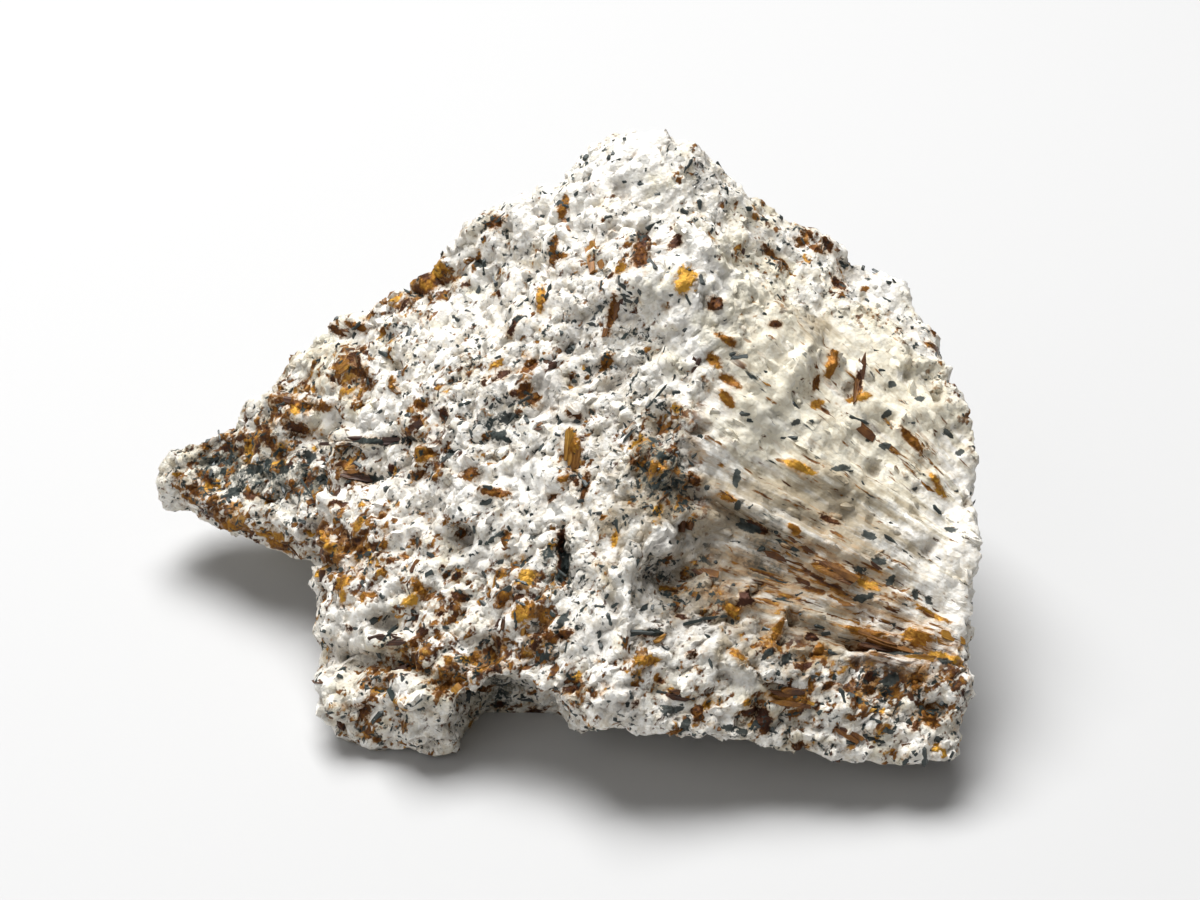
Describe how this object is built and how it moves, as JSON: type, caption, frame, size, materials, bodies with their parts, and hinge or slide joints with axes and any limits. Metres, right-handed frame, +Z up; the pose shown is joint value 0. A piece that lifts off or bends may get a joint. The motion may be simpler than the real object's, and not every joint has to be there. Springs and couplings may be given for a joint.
{
  "type": "astrophyllite cluster",
  "caption": "Broken peaked lump of white feldspar rock with a thin side shelf, set with bronze astrophyllite blades and black needles; a mineral specimen that rests on its flat underside.",
  "frame": {"origin": "on the resting face, under the middle of the lump's bounding box", "axes": "+X from the thin shelf towards the steep side, +Y from the front corner to the back, +Z up"},
  "size_m": [0.0608, 0.039, 0.0362],
  "materials": {
    "feldspar": "rough broken, sugary white grains with black and rusty specks",
    "astrophyllite": "bronze to golden brown blades with a pearly, almost metallic sheen",
    "aegirine": "black needles with a glassy lustre"
  },
  "bodies": {
    "root": {"rock": "feldspar"}
  },
  "joints": []
}
